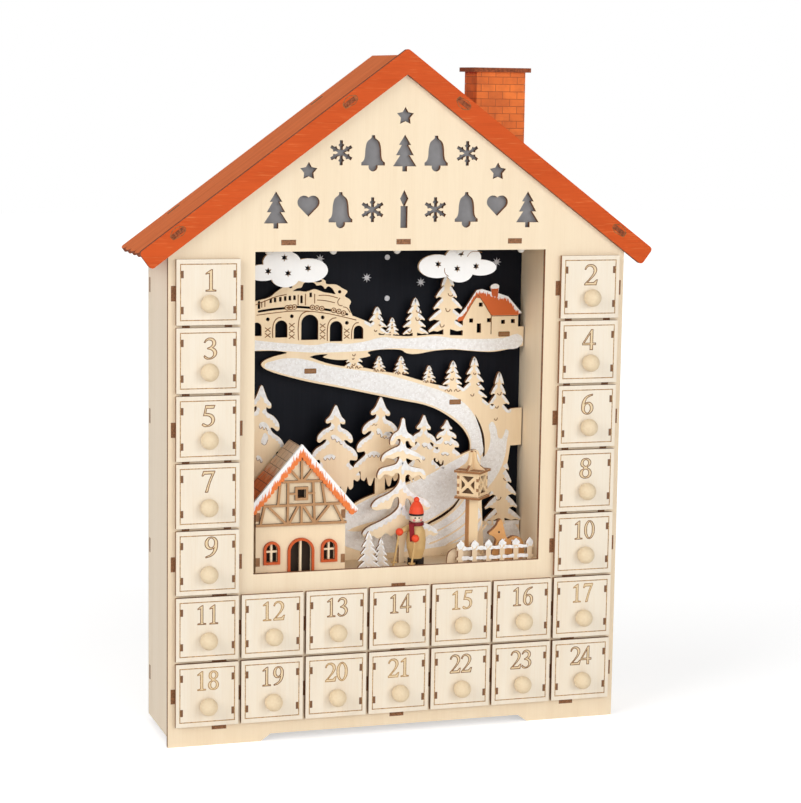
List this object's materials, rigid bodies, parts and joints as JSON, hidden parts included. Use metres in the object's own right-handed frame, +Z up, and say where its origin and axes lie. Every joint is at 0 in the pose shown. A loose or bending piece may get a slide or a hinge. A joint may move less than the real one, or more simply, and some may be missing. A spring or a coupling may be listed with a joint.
{
  "type": "advent calendar",
  "caption": "House-shaped wooden advent calendar with small numbered drawers round a framed winter scene under a pitched roof.",
  "frame": {"origin": "centre of the bounding box in plan, on the plane of the feet", "axes": "+Z up, -Y towards the viewer of the front, +X to the viewer's right"},
  "size_m": [0.3604, 0.0917, 0.4672],
  "materials": {
    "basswood": "satin, bare pale plywood",
    "night_panel": "bare plywood, near-black paint inside the niche",
    "side_plywood": "bare pale plywood",
    "grey_film": "translucent grey diffuser, matte",
    "roof_orange": "orange stain over plywood",
    "trim_orange": "orange stain over plywood",
    "brick_brown": "brown stain with engraved brick lines",
    "cap_orange": "orange stain, bare edge",
    "cloud_white": "white paint",
    "scene_wood": "bare board with white snow paint",
    "timber_brown": "brown stain",
    "skier_wood": "turned wood, red paint on hat and mittens",
    "deer_brown": "brown stain",
    "fence_white": "white paint",
    "lamp_white": "white board with clear lamps",
    "case_black": "black moulded plastic",
    "battery_steel": "steel jacket",
    "drawer_wood": "bare pale plywood, engraved line"
  },
  "bodies": {
    "case": {"front_panel": "basswood", "back_panel": "night_panel", "left_side": "side_plywood", "right_side": "side_plywood", "base_board": "side_plywood", "shelves": "side_plywood", "column_shelves": "side_plywood", "drawer_dividers": "side_plywood", "niche_walls": "basswood", "attic_floor": "basswood", "stage_floor": "basswood", "light_films": "grey_film", "roof_left": "roof_orange", "roof_right": "roof_orange", "bargeboard": "trim_orange", "chimney_walls": "brick_brown", "chimney_cap": "cap_orange", "clouds": "cloud_white", "landscape_board": "scene_wood", "forest_board": "scene_wood", "near_fir": "scene_wood", "house_walls": "basswood", "house_timbering": "timber_brown", "house_roof": "roof_orange", "house_bargeboard": "trim_orange", "house_trims": "trim_orange", "lantern": "timber_brown", "skier": "skier_wood", "deer": "deer_brown", "fence": "fence_white", "little_firs": "scene_wood", "light_strip": "lamp_white", "battery_case": "case_black", "batteries": "battery_steel"},
    "drawer_01_body": {"drawer_01": "drawer_wood"},
    "drawer_02_body": {"drawer_02": "drawer_wood"},
    "drawer_03_body": {"drawer_03": "drawer_wood"},
    "drawer_04_body": {"drawer_04": "drawer_wood"},
    "drawer_05_body": {"drawer_05": "drawer_wood"},
    "drawer_06_body": {"drawer_06": "drawer_wood"},
    "drawer_07_body": {"drawer_07": "drawer_wood"},
    "drawer_08_body": {"drawer_08": "drawer_wood"},
    "drawer_09_body": {"drawer_09": "drawer_wood"},
    "drawer_10_body": {"drawer_10": "drawer_wood"},
    "drawer_11_body": {"drawer_11": "drawer_wood"},
    "drawer_12_body": {"drawer_12": "drawer_wood"},
    "drawer_13_body": {"drawer_13": "drawer_wood"},
    "drawer_14_body": {"drawer_14": "drawer_wood"},
    "drawer_15_body": {"drawer_15": "drawer_wood"},
    "drawer_16_body": {"drawer_16": "drawer_wood"},
    "drawer_17_body": {"drawer_17": "drawer_wood"},
    "drawer_18_body": {"drawer_18": "drawer_wood"},
    "drawer_19_body": {"drawer_19": "drawer_wood"},
    "drawer_20_body": {"drawer_20": "drawer_wood"},
    "drawer_21_body": {"drawer_21": "drawer_wood"},
    "drawer_22_body": {"drawer_22": "drawer_wood"},
    "drawer_23_body": {"drawer_23": "drawer_wood"},
    "drawer_24_body": {"drawer_24": "drawer_wood"},
    "battery_cover_body": {"battery_cover": "case_black"},
    "light_switch_body": {"light_switch": "case_black"}
  },
  "joints": [
    {"name": "drawer_01_slide", "type": "slide", "parent": "case", "child": "drawer_01_body", "axis": [0, -1, 0], "range_m": [-0.0006, 0.045]},
    {"name": "drawer_02_slide", "type": "slide", "parent": "case", "child": "drawer_02_body", "axis": [0, -1, 0], "range_m": [-0.0006, 0.045]},
    {"name": "drawer_03_slide", "type": "slide", "parent": "case", "child": "drawer_03_body", "axis": [0, -1, 0], "range_m": [-0.0006, 0.045]},
    {"name": "drawer_04_slide", "type": "slide", "parent": "case", "child": "drawer_04_body", "axis": [0, -1, 0], "range_m": [-0.0006, 0.045]},
    {"name": "drawer_05_slide", "type": "slide", "parent": "case", "child": "drawer_05_body", "axis": [0, -1, 0], "range_m": [-0.0006, 0.045]},
    {"name": "drawer_06_slide", "type": "slide", "parent": "case", "child": "drawer_06_body", "axis": [0, -1, 0], "range_m": [-0.0006, 0.045]},
    {"name": "drawer_07_slide", "type": "slide", "parent": "case", "child": "drawer_07_body", "axis": [0, -1, 0], "range_m": [-0.0006, 0.045]},
    {"name": "drawer_08_slide", "type": "slide", "parent": "case", "child": "drawer_08_body", "axis": [0, -1, 0], "range_m": [-0.0006, 0.045]},
    {"name": "drawer_09_slide", "type": "slide", "parent": "case", "child": "drawer_09_body", "axis": [0, -1, 0], "range_m": [-0.0006, 0.045]},
    {"name": "drawer_10_slide", "type": "slide", "parent": "case", "child": "drawer_10_body", "axis": [0, -1, 0], "range_m": [-0.0006, 0.045]},
    {"name": "drawer_11_slide", "type": "slide", "parent": "case", "child": "drawer_11_body", "axis": [0, -1, 0], "range_m": [-0.0006, 0.045]},
    {"name": "drawer_12_slide", "type": "slide", "parent": "case", "child": "drawer_12_body", "axis": [0, -1, 0], "range_m": [-0.0006, 0.045]},
    {"name": "drawer_13_slide", "type": "slide", "parent": "case", "child": "drawer_13_body", "axis": [0, -1, 0], "range_m": [-0.0006, 0.045]},
    {"name": "drawer_14_slide", "type": "slide", "parent": "case", "child": "drawer_14_body", "axis": [0, -1, 0], "range_m": [-0.0006, 0.045]},
    {"name": "drawer_15_slide", "type": "slide", "parent": "case", "child": "drawer_15_body", "axis": [0, -1, 0], "range_m": [-0.0006, 0.045]},
    {"name": "drawer_16_slide", "type": "slide", "parent": "case", "child": "drawer_16_body", "axis": [0, -1, 0], "range_m": [-0.0006, 0.045]},
    {"name": "drawer_17_slide", "type": "slide", "parent": "case", "child": "drawer_17_body", "axis": [0, -1, 0], "range_m": [-0.0006, 0.045]},
    {"name": "drawer_18_slide", "type": "slide", "parent": "case", "child": "drawer_18_body", "axis": [0, -1, 0], "range_m": [-0.0006, 0.045]},
    {"name": "drawer_19_slide", "type": "slide", "parent": "case", "child": "drawer_19_body", "axis": [0, -1, 0], "range_m": [-0.0006, 0.045]},
    {"name": "drawer_20_slide", "type": "slide", "parent": "case", "child": "drawer_20_body", "axis": [0, -1, 0], "range_m": [-0.0006, 0.045]},
    {"name": "drawer_21_slide", "type": "slide", "parent": "case", "child": "drawer_21_body", "axis": [0, -1, 0], "range_m": [-0.0006, 0.045]},
    {"name": "drawer_22_slide", "type": "slide", "parent": "case", "child": "drawer_22_body", "axis": [0, -1, 0], "range_m": [-0.0006, 0.045]},
    {"name": "drawer_23_slide", "type": "slide", "parent": "case", "child": "drawer_23_body", "axis": [0, -1, 0], "range_m": [-0.0006, 0.045]},
    {"name": "drawer_24_slide", "type": "slide", "parent": "case", "child": "drawer_24_body", "axis": [0, -1, 0], "range_m": [-0.0006, 0.045]},
    {"name": "battery_cover_lift", "type": "slide", "parent": "case", "child": "battery_cover_body", "axis": [0, 1, 0], "range_m": [0, 0.012]},
    {"name": "light_switch_slide", "type": "slide", "parent": "case", "child": "light_switch_body", "axis": [1, 0, 0], "range_m": [0, 0.004]}
  ]
}
